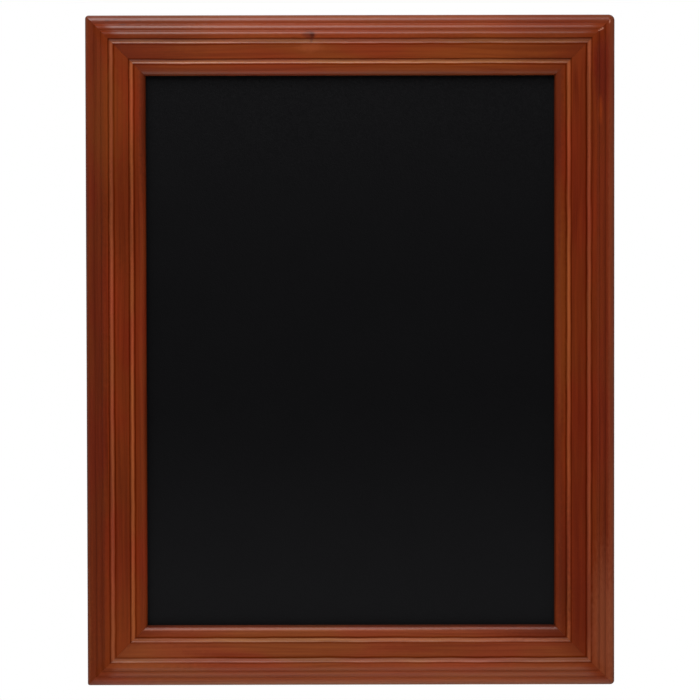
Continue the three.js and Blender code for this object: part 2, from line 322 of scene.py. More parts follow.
def attribute(graph, name):
    return graph.node("ShaderNodeAttribute", output="Fac", attribute_name=name)


# %% [markdown]
# The wood is a straight-grained softwood, stained and then lacquered. Its pattern is solid: the
# growth rings are shells round a pith beside the stick, so the moulding's curves cut through
# them as a cutter does. Each stick has its own pith, seed and tone.
#
# Toned lacquer gathers in the quirks and thins out on the floor of each flute, so a ramp across
# the moulding darkens the first and lightens the second. The flutes' paler floors are partly
# that thinner stain and partly a painted highlight. A band on the nose's round is painted paler
# and bluer, as a painted reflection. It reads `inset`, the distance from the outer edge, which
# the moulding's tree stores. Its alpha says how much lacquer shines.
#
# The hand's work shows too: near a mitre the sticks take one tone, and each stick has soft
# marks, such as a knot, a patch or a chip. The chips are painted bright as glints, and other
# marks are painted highlights and painted shade. The same ragged noise eats into every one.

# %% Mix the wood stain
WIDTH = 44.4
EDGE, ROUND, SHALLOW = (0.6, 0.55, 0.6, 0.2), (1, 1, 1, 0.75), (0.97, 0.93, 0.9, 0.65)
# The band on the nose's round, just inside the edge, is a painted reflection of the white
# surroundings: paler and bluer.
FLAT, QUIRK, PAINTED_RIM_REFLECTION = (1, 1, 1, 0.3), (0.66, 0.46, 0.15, 0.05), (1.05, 1.45, 2.2, 0.75)
# The flute floors' tints are partly thinner stain and partly a painted highlight.
THIN_STAIN_AND_HIGHLIGHT, THINNEST_STAIN_AND_HIGHLIGHT = (1.75, 2.65, 4.2, 0.95), (2.0, 3.1, 4.1, 0.95)
TONER = [
    (0.0, EDGE), (0.25, EDGE), (0.7, PAINTED_RIM_REFLECTION), (1.8, PAINTED_RIM_REFLECTION), (2.8, ROUND),
    (5.6, ROUND), (6.35, SHALLOW), (7.1, ROUND), (12.5, ROUND), (14.5, FLAT),
    (16.3, FLAT), (17.0, QUIRK), (18.5, THIN_STAIN_AND_HIGHLIGHT), (19.6, THIN_STAIN_AND_HIGHLIGHT), (20.9, QUIRK),
    (21.5, QUIRK), (22.2, FLAT), (31.3, FLAT), (32.0, QUIRK), (33.5, THINNEST_STAIN_AND_HIGHLIGHT),
    (34.5, THINNEST_STAIN_AND_HIGHLIGHT), (35.7, QUIRK), (36.2, QUIRK), (37.0, FLAT),
    (38.6, FLAT), (40.0, ROUND), (WIDTH, ROUND),
]
STRONGEST = 8
RING_STOPS = [(0.0, 0.75), (0.12, 0.1), (0.55, 0.3), (0.9, 1), (1.0, 0.75)]
RING_SPACING, RING_SWAY = 2.7 * MM, 9 * MM
KNOT_LENGTH, KNOT_WIDTH, KNOT_SWELL = 4 * MM, 3 * MM, 2.5 * MM
REDDER, BROWNER, MITRE_TONE = [1.03, 0.9, 0.93, 1], [0.98, 1.13, 0.92, 1], (110, 42, 16)
WIPED_PALE, WIPED_DARK, GLUE_TONE = (168, 112, 72), (118, 68, 38), (66, 36, 20)


def growth(along, across, y, seed, pith, knot):
    """The rings, the fibres, and how dark they make the wood."""
    sway = noise((along * 5 + seed, across * 24, y * 24), 1.0) - 0.5
    to_pith = (across - pith[0]) ** 2 + (y - pith[1]) ** 2
    radius = to_pith ** 0.5 + sway * RING_SWAY
    if knot:
        far = ((along - knot[0]) / KNOT_LENGTH) ** 2 + ((across - knot[1]) / KNOT_WIDTH) ** 2
        radius = radius + KNOT_SWELL / (1 + far)
    year = (radius / RING_SPACING).maths("FRACT")
    ring = ramp(year, [(at, grey(level)) for at, level in RING_STOPS])
    clear = noise((along * 9, across * 60, seed), 1.0)
    fibre = noise((along * 22, across * 900, y * 900 + seed), 3.0, 0.62)
    streak = noise((along * 7, across * 240 + seed, y * 240))
    dark = ring * clear * 0.5 + (streak - 0.5) * 0.9 + (fibre - 0.5) * 0.75 + 0.2
    return ring, fibre, dark


def toned(graph, wood, wander, inset, mitre, fibre, patch, corner):
    """The wood under its toned lacquer, and how much the lacquer shines."""
    stops = [(at / WIDTH, [c / STRONGEST for c in tint]) for at, tint in TONER]
    toner = ramp((inset + wander * 0.0012) / (WIDTH * MM), stops)
    joint = 0.95 + 0.05 * ease(mitre + (fibre - 0.5) * 0.0006, 0.0, 0.0005)
    sockets = {0: toner, "Scale": joint * STRONGEST}
    film = graph.node("ShaderNodeVectorMath", sockets, operation="SCALE")
    lacquered = mix(graph, 1.0, wood, film, "MULTIPLY")
    reached = ease(mitre + (patch - 0.5) * 0.1, -0.01, 0.085)
    sockets = {0: lacquered, 1: corner}
    cornered = graph.node("ShaderNodeVectorMath", sockets, operation="MULTIPLY")
    return mix(graph, reached, cornered, lacquered), toner.out("Alpha") * STRONGEST


def marked(graph, colour, along, across, y, marks):
    """The colour with soft marks, whose rims are ragged."""
    ragged = noise((along * 300, across * 420, y * 420)) - 0.5
    for at_along, at_across, length, width, tint, share in marks:
        dx, dz = (along - at_along * MM) / (length * MM), (across - at_across * MM) / (width * MM)
        far = (dx ** 2 + dz ** 2) ** 0.5 + ragged * 0.9
        colour = mix(graph, ease(far, 1.3, 0.3) * share, colour, srgb(*tint))
    return colour


def stained_wood(name, grain, seed, corner, early, late, pith, sheen, marks, knot=None):
    graph = new_finish(name)
    x, y, z = place(graph)
    along, across = (x, z) if grain == "X" else (z, x)
    inset, mitre = attribute(graph, "inset"), attribute(graph, "mitre")

    ring, fibre, dark = growth(along, across, y, seed, pith, knot)
    patch = noise((along * 14, across * 45 + seed, y * 30))
    wander = noise((along * 38, across * 12, seed)) - 0.5
    wood = mix(graph, dark, srgb(*early), srgb(*late))
    redder, browner = (mix(graph, 1.0, wood, tone, "MULTIPLY") for tone in (REDDER, BROWNER))
    wood = mix(graph, ease(patch, 0.35, 0.65), redder, browner)
    near = 1 - ease(mitre + (patch - 0.5) * 0.02, -0.004, 0.022)
    wood = mix(graph, near * 0.8, wood, srgb(*MITRE_TONE))
    lacquered, shine = toned(graph, wood, wander, inset, mitre, fibre, patch, corner)
    lacquered = marked(graph, lacquered, along, across, y, marks)

    back = ease(y, -5.0 * MM, -4.25 * MM)
    wiped = mix(graph, dark * 0.9 + 0.05, srgb(*WIPED_PALE), srgb(*WIPED_DARK))
    wiped = mix(graph, ease(mitre, 0.00035, 0.0001) * 0.6, wiped, srgb(*GLUE_TONE))
    beaded = ease(inset, 5.5 * MM, 6.5 * MM) * ease(inset, 17 * MM, 15.5 * MM)
    dulled = beaded * ease(mitre + (patch - 0.5) * 0.012, 0.013, 0.003)
    return close_finish(graph, {
        "Base Color": mix(graph, back, lacquered, wiped),
        "Roughness": 0.36 + fibre * 0.1 + back * 0.35,
        "Specular IOR Level": 0.0,
        "Coat Weight": shine * (1 - back) * (along * sheen[1] + sheen[0]) * (1 - dulled * 0.85),
        "Coat Roughness": 0.32,
        "Normal": bump(fibre * 0.3 + ring * 0.2, 0.00004),
    })


# %% [markdown]
# Each stick gets marks of the kind, size and place that they have on the real board: a pin
# knot, chips at one corner, painted bright as glints, and patches. Other marks are painted
# light: pale lines and bands are painted highlights, and dark lines by the opening's edge are
# painted shade. A mark is its place along and across the stick, its half length and half
# width in millimetres, its colour and its strength. A sheen is its strength in the middle and
# its change in a metre.

# %% Stain the four sticks
KNOT = (-29 * MM, 232.4 * MM)
TO_STILE, TO_RAIL = (0.88, 0.84, 0.8), (1.1, 1.2, 1.2)
# Small chips at the top right mitre, painted bright as glints where their edges catch the light.
CHIP_GLINTS = [
    (190.7, 241.9, 0.7, 1.6), (185.4, 236.9, 0.9, 0.8), (184.1, 236.1, 1.0, 0.6),
    (182.8, 235.2, 0.9, 0.5),
]
CHIP_GLINT_TONE = (200, 138, 116)
TOP_MARKS = [
    # The first two marks are painted highlights, golden lines along the flutes' floors. The third
    # paints the nose and reed lighter and redder, as light from above.
    (-60, 212.4, 180, 0.7, (250, 176, 120), 0.17), (-155, 227.2, 70, 0.7, (250, 160, 110), 0.25),
    (0, 239, 400, 9, (215, 96, 56), 0.1),
    (-150, 235, 45, 30, (84, 26, 12), 0.35), (150, 235, 45, 30, (88, 30, 14), 0.25),
    (-29, 223, 11, 3.5, (154, 76, 42), 0.4), (-29.6, 232.4, 5.2, 3.2, (88, 31, 20), 0.65),
    (-28.2, 228.8, 1.3, 3, (84, 28, 20), 0.5), (-27.6, 232.3, 2.3, 2.2, (66, 20, 10), 0.8),
    (-178, 243.1, 2.5, 0.5, (70, 24, 20), 0.7), (-172.2, 243.9, 1.8, 0.5, (70, 24, 20), 0.6),
    (-167, 240.2, 3, 0.6, (74, 26, 20), 0.6), (-155.2, 243.1, 2, 0.5, (74, 26, 20), 0.6),
    *((x, z, length, width, CHIP_GLINT_TONE, 0.6) for x, z, length, width in CHIP_GLINTS),
]
RIGHT_MARKS = [
    # Several marks are painted light: the pale patch low on the nose and reed (-205, 186) and the
    # pale lines along the shoulder (20, 182.5) and the nose (0, 191.8) are painted highlights. The
    # dark marks at 150.4 and 152.5 across, by the opening's edge, are painted shade.
    (206, 185, 30, 8, (84, 16, 10), 0.6), (177, 183.6, 11, 1.8, (150, 60, 14), 0.5),
    (-195, 169, 50, 9, (92, 24, 12), 0.4), (-205, 186, 65, 10, (140, 74, 48), 0.5),
    (-160, 157, 70, 5, (72, 24, 12), 0.4), (0, 150.4, 500, 1.0, (40, 12, 8), 0.45),
    (180, 152.5, 60, 5, (50, 16, 8), 0.35), (22, 155, 95, 4.5, (150, 78, 28), 0.25),
    (-150, 167, 90, 8, (60, 24, 12), 0.15), (20, 182.5, 260, 0.8, (200, 90, 50), 0.12),
    (0, 191.8, 500, 2.4, (200, 120, 84), 0.1), (120, 186, 170, 9, (160, 50, 24), 0.1),
    (-178, 155, 45, 4.5, (50, 16, 8), 0.18),
    *((z, x, width, length, CHIP_GLINT_TONE, 0.6) for x, z, length, width in CHIP_GLINTS),
]
BOTTOM_MARKS = [
    (150, -208, 40, 6, (80, 24, 10), 0.45), (-150, -225, 45, 14, (150, 78, 42), 0.3),
    # The last three marks are painted light: the nose zone painted lighter and redder, a painted
    # highlight along the lip's rounded edge, and painted shade along the opening's edge.
    (60, -219, 50, 5, (104, 32, 14), 0.3), (0, -238, 400, 9, (215, 96, 56), 0.08),
    (-70, -205.4, 220, 0.8, (240, 160, 130), 0.12), (0, -203, 400, 0.8, (40, 14, 10), 0.6),
]
LEFT_MARKS = [
    (0, -188, 420, 10, (62, 20, 10), 0.32), (113, -168, 55, 14, (78, 26, 8), 0.35),
    (-200, -168, 45, 12, (140, 66, 32), 0.15), (-140, -168, 80, 8, (60, 26, 14), 0.18),
    # The first mark on this line, dark at 151 across by the opening's edge, is painted shade.
    (180, -151, 60, 4.5, (50, 16, 8), 0.45), (170, -179, 50, 18, (126, 70, 25), 0.25),
]
# The rails are stained lighter than the stiles. This is partly each stick's own tone and partly
# painted light: the overhead light catches grain that runs across it more than grain that runs
# along it.
STICKS = {
    "top_rail": ((132, 57, 24), (94, 31, 9), (0.250, 0.020), (1.05, -2.2), TOP_MARKS, KNOT),
    "right_stile": ((118, 43, 17), (81, 22, 7), (0.160, 0.012), (0.4, 0.0), RIGHT_MARKS),
    "bottom_rail": ((139, 66, 36), (100, 36, 16), (-0.252, 0.018), (0.82, 0.0), BOTTOM_MARKS),
    "left_stile": ((123, 46, 19), (85, 25, 8), (-0.205, 0.014), (0.4, 0.0), LEFT_MARKS),
}
wood_of = {}
for i, (name, stain) in enumerate(STICKS.items()):
    grain, corner = (("X", TO_STILE), ("Z", TO_RAIL))[i % 2]
    finish_name = "stained_wood_" + name.split("_")[0]
    wood_of[name] = stained_wood(finish_name, grain, i + 1.0, corner, *stain)

# %% [markdown]
# The writing surface is a plastic laminate with a fine pebble pressed into it, for chalk to bite
# on. From a distance it is an even, dull black. It is painted lighter near its top and bottom,
# as a painted sheen for the reflection of the floor and of the light above, with a little random
# cloud. Its pebble specks are painted stronger towards the top, as painted glints.

# %% Finish the writing surface and what lies behind it
def black_laminate():
    graph = new_finish("matt_black_laminate")
    here = place(graph)
    pebble = noise(scaled(here, 1300), 2.0, 0.6)
    cloud = noise(scaled(here, 30), 3.0, 0.6)
    upper = ease(here[2], 0.06, 0.22)
    # Painted sheen: lighter towards the bottom and the top, with a little random cloud. Painted
    # glints: the pebble's specks grow stronger towards the top.
    dust_and_sheen = ease(here[2], -0.02, -0.215) + upper * 0.3 + cloud * 0.1
    specks_and_glints = (pebble - 0.5) * (upper * 3 + 0.6)
    return close_finish(graph, {
        "Base Color": mix(graph, dust_and_sheen + specks_and_glints, srgb(4, 4, 6), srgb(15, 15, 17)),
        "Roughness": 0.5 + cloud * 0.12,
        "Specular IOR Level": 0.12,
        "Normal": bump(pebble, 0.00012),
    })


def board_fibre(name, dark, pale, scale, depth):
    """Pressed fibre: flecks of two tones that lie every way."""
    graph = new_finish(name)
    x, y, z = scaled(place(graph), scale)
    flecks = noise((x, y, z), 5.0, 0.75)
    streaks = noise((x * 0.25, y, z), 3.0, 0.7)
    blend = ease(flecks * 0.6 + streaks * 0.4, 0.36, 0.64)
    return close_finish(graph, {
        "Base Color": mix(graph, blend, srgb(*dark), srgb(*pale)),
        "Roughness": 0.85 + flecks * 0.1,
        "Specular IOR Level": 0.25,
        "Normal": bump(flecks, depth),
    })


laminate = black_laminate()
fibreboard = board_fibre("raw_fibreboard", (140, 106, 68), (172, 136, 92), 900, 0.00006)
liner_paper = board_fibre("brown_liner_paper", (142, 120, 94), (158, 136, 110), 700, 0.000015)

# %% [markdown]
# The metal parts are small and all on the back. Zinc plate is bright and slightly blue, with
# tumbling marks. The nails and points are plain steel strip, rolled and a little dull. Rubber
# is never quite black, and its moulded skin is matt.

# %% Finish the metal and the rubber
def sheet_metal(name, dark, pale, rough, scratches):
    graph = new_finish(name)
    x, y, z = place(graph)
    cloud = noise(scaled((x, y, z), 260), 3.0, 0.65)
    marks = noise((x * scratches, y * scratches, z * 500), 3.0, 0.6)
    return close_finish(graph, {
        "Base Color": mix(graph, ease(cloud, 0.3, 0.7), srgb(*dark), srgb(*pale)),
        "Metallic": 1.0,
        "Roughness": rough + cloud * 0.14 + marks * 0.08,
        "Normal": bump(marks, 0.000012),
    })


def moulded_rubber():
    graph = new_finish("moulded_rubber")
    here = place(graph)
    skin = noise(scaled(here, 2600))
    dust_and_sheen = noise(scaled(here, 500), 3.0, 0.7)
    return close_finish(graph, {
        "Base Color": mix(graph, ease(dust_and_sheen, 0.45, 0.8), srgb(28, 28, 30), srgb(58, 56, 54)),
        "Roughness": 0.6 + skin * 0.2,
        "Specular IOR Level": 0.35,
        "Normal": bump(skin, 0.00004),
    })


zinc_plate = sheet_metal("bright_zinc", (176, 180, 186), (206, 208, 210), 0.22, 2400)
nail_steel = sheet_metal("plain_steel", (136, 137, 139), (172, 172, 172), 0.32, 3600)
rubber = moulded_rubber()

# %% [markdown]
# The outline repeats the section of the fixed frame: u runs in from the outer edge and h up
# from the flat back, in millimetres. Real wood has no knife edges, so the outline is drawn
# finely, softened with a narrow bell curve, and thinned out again, which keeps more points
# where it turns. Sandpaper reaches the hollows beside the reed from both sides, so they are
# softened most.

# %% Draw the moulding's outline
SOFTNESS, WORN = 0.15, 0.36
STEP = 0.02
POINT_TURN, POINT_RUN = math.radians(9), 1.1
REED, REED_FADE, REED_BASE = (3.5, 14), 1.5, 12
BACK_EASE, SIDE_HEIGHT, LIP_ROUND = 0.6, 10.5, 4.2
CREST, BAND, LIP_TOP = 19.5, 18.6, 17.8
SHELF, RABBET = 11, 6.5
NOSE_RUN = 6.4 / (1 + math.cos(math.radians(72)))


def ellipse(centre, radii, first, last):
    angles = np.radians(np.linspace(first, last, 60))
    return np.array(centre) + np.stack([radii[0] * np.cos(angles), radii[1] * np.sin(angles)], 1)


def bow(start, end, rise):
    """An arc from start to end that stands proud of its chord, or sinks below it."""
    start, end = np.array(start), np.array(end)
    half = np.linalg.norm(end - start) / 2
    radius = (half**2 + rise**2) / (2 * abs(rise))
    out = np.array([start[1] - end[1], end[0] - start[0]]) / (2 * half) * np.sign(rise)
    centre = (start + end) / 2 + out * (abs(rise) - radius)
    first, last = (math.degrees(math.atan2(*(p - centre)[::-1])) for p in (start, end))
    last += 360 * round((first - last) / 360)
    return ellipse(centre, (radius, radius), first, last)


corners = np.concatenate([
    [(BACK_EASE, 0), (0, BACK_EASE), (0, SIDE_HEIGHT)],
    ellipse((NOSE_RUN, SIDE_HEIGHT), (NOSE_RUN, 4.7), 180, 72),
    bow((6.4, 14.97), (11.3, 17), 1),
    ellipse((14.3, 17), (3, 2.5), 180, 90),
    [(16.8, CREST)], bow((17.15, BAND), (21.15, BAND), -1.05), [(21.4, BAND)],
    [(31.8, BAND)], bow((32.05, LIP_TOP), (35.85, LIP_TOP), -1.0), [(36.1, LIP_TOP)],
    ellipse((WIDTH - LIP_ROUND, LIP_TOP - LIP_ROUND), (LIP_ROUND, LIP_ROUND), 90, 0),
    [(WIDTH, SHELF), (WIDTH - RABBET, SHELF), (WIDTH - RABBET, 0)],
])


def blurred(loop, width):
    """The closed loop under a bell curve."""
    reach = int(4 * width / STEP)
    bell = np.exp(-0.5 * (np.arange(-reach, reach + 1) * STEP / width) ** 2)
    ends = np.vstack([loop[-reach:], loop, loop[:reach]])
    return np.stack([np.convolve(ends[:, i], bell / bell.sum(), "valid") for i in range(2)], 1)


def soften(points):
    """A closed outline with its corners eased, as points that crowd where it turns."""
    loop = np.vstack([points, points[:1]])
    run = np.concatenate([[0], np.cumsum(np.linalg.norm(np.diff(loop, axis=0), axis=1))])
    fine = np.arange(0, run[-1], STEP)
    loop = np.stack([np.interp(fine, run, loop[:, i]) for i in range(2)], 1)
    after, before = (loop[:, 0] - REED[0]) / REED_FADE, (REED[1] - loop[:, 0]) / REED_FADE
    beside = np.clip(after, 0, 1) * np.clip(before, 0, 1) * (loop[:, 1] > REED_BASE)
    beside = beside[:, None]
    loop = blurred(loop, SOFTNESS) * (1 - beside) + blurred(loop, WORN) * beside
    ahead = np.roll(loop, -1, axis=0) - loop
    heading = np.unwrap(np.arctan2(ahead[:, 1], ahead[:, 0]))
    turned = np.abs(np.diff(heading, append=heading[:1]))
    turned[-1] = 0
    weight = np.cumsum(turned / POINT_TURN + STEP / POINT_RUN)
    count = int(weight[-1])
    chosen = np.searchsorted(weight, np.linspace(0, weight[-1], count, endpoint=False))
    return loop[chosen]


outline = soften(corners) * MM
low, high = (np.round(end / MM, 2) for end in (outline.min(0), outline.max(0)))
print("outline:", len(outline), "points, from", low, "to", high)

# %% [markdown]
# Geometry Nodes make the moulding. The tree sweeps the outline along a straight line and then
# bends it into place with one sum for each direction:
#
# - along most of the stick a point only moves out to its place
# - near a sanded corner, whatever lies outside the corner's curve runs round it
# - every point stops at the mitre, half a glue line short
#
# The line runs from -1 to 1 along the straight part, and a little more at each end for the
# corner. A last step sinks the face by a few hundredths of a millimetre along soft waves, as
# hand sanding does. That is what makes the highlights wander.

# %% Build the moulding's tree
graph, given = new_tree("moulding", {
    "Length": 0.3888, "Offset": 0.2469, "Turn": 0.0,
    "Start corner": 0.003, "End corner": 0.003,
    "Glue gap": 0.000012, "Corner run": 0.002, "Corner share": 0.09, "Loops": 200,
    "Back": -0.004, "Wave depth": 0.00007, "Seed": 1.0, "Material": None,
})
reach = given("Corner share") + 1
start, end = (join(graph, 0.0, 0.0, r) for r in (reach * -1, reach))
line = graph.node("GeometryNodeCurvePrimitiveLine", {"Start": start, "End": end})
line = graph.node("GeometryNodeResampleCurve", {"Curve": line, "Count": given("Loops")})
profile = graph.node("GeometryNodeMeshToCurve", {0: given("Geometry")})
sockets = {"Curve": line, "Profile Curve": profile, "Fill Caps": True}
swept = graph.node("GeometryNodeCurveToMesh", sockets)

inset, rise, run = split(graph.node("GeometryNodeInputPosition"))
side = run.maths("SIGN")
way = run.maths("ABSOLUTE")
first, last = given("Start corner"), given("End corner")
corner = first + (last - first) * (side * 0.5 + 0.5)
bend = (corner - inset).maths("MAXIMUM", 0.0)
straight = given("Length") / 2 - inset - bend - given("Corner run")
share = way.maths("MINIMUM", 1.0)
total = given("Corner run") + bend * (math.pi / 4) - given("Glue gap")
into = (way - share) / given("Corner share") * total
before = into.maths("MINIMUM", given("Corner run"))
angle = (into - before) / bend.maths("MAXIMUM", 1e-6)
reached = share * straight + before + bend * angle.maths("SINE")
dropped = inset + bend * (1 - angle.maths("COSINE"))
mitre = total - into + (1 - share) * straight

stored = swept
for name, value in (("inset", inset), ("mitre", mitre)):
    sockets = {"Geometry": stored, "Name": name, "Value": value}
    stored = graph.node("GeometryNodeStoreNamedAttribute", sockets)
spot = join(graph, side * reached, rise * -1, dropped * -1)
bent = graph.node("GeometryNodeSetPosition", {0: stored, "Position": spot})

x, y, z = split(graph.node("GeometryNodeInputPosition"))
waves = noise((x * 42, y * 230 + given("Seed") * 7, z * 230), 1.0)
face = ease(y * -1, 11.5 * MM, 13.5 * MM) * ease(z * -1, 0.6 * MM, 2 * MM)
sink = given("Wave depth") * face * waves * -1
sockets = {0: graph.node("GeometryNodeInputNormal"), "Scale": sink}
offset = graph.node("ShaderNodeVectorMath", sockets, operation="SCALE")
worn = graph.node("GeometryNodeSetPosition", {0: bent, "Offset": offset})

out = join(graph, 0.0, given("Back"), given("Offset"))
placed = graph.node("GeometryNodeTransform", {0: worn, "Translation": out})
turn = join(graph, 0.0, given("Turn"), 0.0)
turned = graph.node("GeometryNodeTransform", {0: placed, "Rotation": turn})
moulding = close_tree(graph, turned, given("Material"))

# %% [markdown]
# One tree cuts all four sticks, each turned a quarter further than the last, so stick `i` runs
# from corner `i` to the next. Each corner was sanded by its own amount after gluing.

# %% Cut the four sticks
OUTER_WIDTH, OUTER_HEIGHT = 388.8 * MM, 493.8 * MM
CORNERS = [2.5 * MM, 4.3 * MM, 3.0 * MM, 1.5 * MM]
RUNS = [(OUTER_WIDTH, OUTER_HEIGHT, 200), (OUTER_HEIGHT, OUTER_WIDTH, 240)]
sticks = {}
for i, name in enumerate(STICKS):
    length, across, loops = RUNS[i % 2]
    section = polyline([(u, h, 0) for u, h in outline], name + "_section", closed=True)
    sticks[name] = run_tree(moulding, section, name + "_moulding", {
        "Length": length, "Offset": across / 2, "Turn": i * math.pi / 2,
        "Start corner": CORNERS[i], "End corner": CORNERS[(i + 1) % 4],
        "Loops": loops, "Seed": float(i + 1), "Material": wood_of[name],
    })
    box = np.array([v.co for v in sticks[name].data.vertices])
    print(name, "from", np.round(box.min(0) / MM, 2), "to", np.round(box.max(0) / MM, 2))

# %% [markdown]
# The hardware needs two more tools. `loft` skins a row of closed loops, which makes straps,
# screws and bumpers. `carve` subtracts cutters from a piece, as a drill or a punch does. Edges
# that turn by more than 35 degrees stay crisp, and all others are shaded smooth.

# %% Tools for the hardware
CRISP_ANGLE = math.radians(35)


def crisp(piece):
    piece.data.shade_smooth()
    piece.data.set_sharp_from_angle(angle=CRISP_ANGLE)
    return piece


def loft(name, loops, finish):
    """A closed skin over loops of points in millimetres, each with the same count."""
    loops = np.array(loops, dtype=float) * MM
    rows, count = loops.shape[:2]
    faces = [list(range(count)), list(range((rows - 1) * count, rows * count))]
    for i in range((rows - 1) * count):
        j = i + 1 if (i + 1) % count else i + 1 - count
        faces.append([i, j, j + count, i + count])
    mesh = bpy.data.meshes.new(name)
    mesh.from_pydata(loops.reshape(-1, 3).tolist(), [], faces)
    mesh.materials.append(finish)
    skin = bmesh.new()
    skin.from_mesh(mesh)
    bmesh.ops.remove_doubles(skin, verts=skin.verts, dist=1e-8)
    bmesh.ops.recalc_face_normals(skin, faces=skin.faces)
    skin.to_mesh(mesh)
    skin.free()
    return crisp(put(mesh, name))


def slab(name, outline, low, high, finish, rim=0.0):
    """An outline in x and z that stands from y low to y high, with its rims eased."""
    middle = np.mean(outline, 0)
    arms = np.array(outline) - middle
    shrunk = middle + arms * (1 - rim / np.linalg.norm(arms, axis=1, keepdims=True))
    levels = [(low, shrunk), (low + rim, outline), (high - rim, outline), (high, shrunk)]
    return loft(name, [[(x, y, z) for x, z in level] for y, level in levels], finish)


def lathe(name, profile, finish, sides=72):
    """A turned part round the y axis, from radii and heights."""
    turns = np.linspace(0, 2 * math.pi, sides, endpoint=False)
    loops = [[(r * math.cos(t), y, r * math.sin(t)) for t in turns] for r, y in profile]
    return loft(name, loops, finish)


def arc(x, y, radius, first, last, count):
    turns = np.radians(np.linspace(first, last, count))
    return [(x + radius * math.cos(t), y + radius * math.sin(t)) for t in turns]


def moved(piece, x, y, z, turn=0.0, lean=0.0):
    """The piece in its place, given in millimetres and radians."""
    spin = Matrix.Rotation(turn, 4, "Y") @ Matrix.Rotation(lean, 4, "X")
    piece.data.transform(Matrix.Translation(Vector((x, y, z)) * MM) @ spin)
    return piece


def joined(name, pieces):
    """Several pieces as one mesh, which keeps the first piece's finish."""
    whole = bmesh.new()
    for part in pieces:
        whole.from_mesh(part.data)
    mesh = bpy.data.meshes.new(name)
    whole.to_mesh(mesh)
    whole.free()
    mesh.materials.append(pieces[0].data.materials[0])
    for part in pieces:
        bpy.data.objects.remove(part)
    return crisp(put(mesh, name))


def carve(piece, cutters):
    """The piece without what the cutters cover."""
    name = piece.name
    tool = joined(name + "_tool", cutters)
    modifier = piece.modifiers.new("carve", "BOOLEAN")
    modifier.operation, modifier.solver, modifier.object = "DIFFERENCE", "EXACT", tool
    result = plain_mesh(piece, name)
    bpy.data.objects.remove(tool)
    return crisp(result)


# %% [markdown]
# Many small parts are the same shape in several places. One Geometry Nodes tree sets out such
# copies: a cloud of points says where, and the number `turn` on each point says how far the
# copy is turned about the depth axis. The copies become one piece, since they ride together.

# %% Build the tree that sets out copies
graph, given = new_tree("set_out_copies", {"Object": None, "Material": None})
sockets = {"Object": given("Object"), "As Instance": True}
part = graph.node("GeometryNodeObjectInfo", sockets, "Geometry")
turn = graph.node("GeometryNodeInputNamedAttribute", {"Name": "turn"}, "Attribute")
about_depth = join(graph, 0.0, turn, 0.0)
sockets = {"Points": given("Geometry"), "Instance": part, "Rotation": about_depth}
placed = graph.node("GeometryNodeInstanceOnPoints", sockets)
copies = close_tree(graph, placed, given("Material"))


def set_out(name, part, places):
    """Copies of the part at places in millimetres, each with its turn in degrees."""
    points = polyline([np.array(p[:3]) * MM for p in places], name + "_places")
    points.data.attributes.new("turn", "FLOAT", "POINT")
    points.data.attributes["turn"].data.foreach_set("value", [math.radians(p[3]) for p in places])
    settings = {"Object": part, "Material": part.data.materials[0]}
    whole = run_tree(copies, points, name, settings)
    bpy.data.objects.remove(part)
    print(name, "holds", len(places), "copies and", len(whole.data.polygons), "faces")
    return whole


# %% [markdown]
# Each mitre is pulled together by two V-nails, driven in from the back until they sit a little
# below the wood. A nail is a folded strip of steel, so its outline is one bent ribbon. The slot
# that it stands in is the same ribbon, a little longer and thicker.

# %% Fold the V-nails
CORNER_SIGNS = [(1, 1), (1, -1), (-1, -1), (-1, 1)]
BACK_FACE = -4
NAIL_INSETS = [11, 28.9]
NAIL_LEG, NAIL_THICK, NAIL_LOW, NAIL_HIGH = 4.2, 0.6, -10.4, -0.4
NAIL_SPREAD = math.radians(50)


def ribbon(points, thickness):
    """The outline of a strip that follows the points."""
    points = np.array(points, dtype=float)
    ahead = np.diff(points, axis=0)
    ahead /= np.linalg.norm(ahead, axis=1, keepdims=True)
    before, after = np.vstack([ahead[:1], ahead]), np.vstack([ahead, ahead[-1:]])
    middle = before + after
    middle /= np.linalg.norm(middle, axis=1, keepdims=True)
    out = np.stack([-middle[:, 1], middle[:, 0]], 1) * thickness / 2
    out /= (middle * after).sum(1, keepdims=True)
    return np.vstack([points + out, (points - out)[::-1]])


def v_nail(name, leg, thickness, low, high, finish):
    across, down = leg * math.sin(NAIL_SPREAD), -leg * math.cos(NAIL_SPREAD)
    outline = ribbon([(-across, down), (0, 0), (across, down)], thickness)
    return loft(name, [[(x, y, z) for x, z in outline] for y in (low, high)], finish)


nail_places = []
for i, (right, up) in enumerate(CORNER_SIGNS):
    for inset in NAIL_INSETS:
        x = right * (OUTER_WIDTH / MM / 2 - inset)
        z = up * (OUTER_HEIGHT / MM / 2 - inset)
        nail_places.append((x, BACK_FACE, z, 45 + 90 * i))
nail = v_nail("v_nail", NAIL_LEG, NAIL_THICK, NAIL_LOW, NAIL_HIGH, nail_steel)
v_nails = set_out("v_nails", nail, nail_places)

# %% [markdown]
# The board is held by steel points, pushed sideways into the rabbet's wall by a point driver.
# They are stamped, so their corners are round, and a rib is pressed along the middle to stop
# them bending. Two hold each rail and three hold each stile.

# %% Stamp the retaining points
POINT_HALF, POINT_TIP, POINT_LOW, POINT_HIGH = 3, 7, -5.7, -5.2
POINT_ROWS = [(300, 246.9, 2), (405, 194.4, 3)] * 2
RABBET_WALL = WIDTH - RABBET


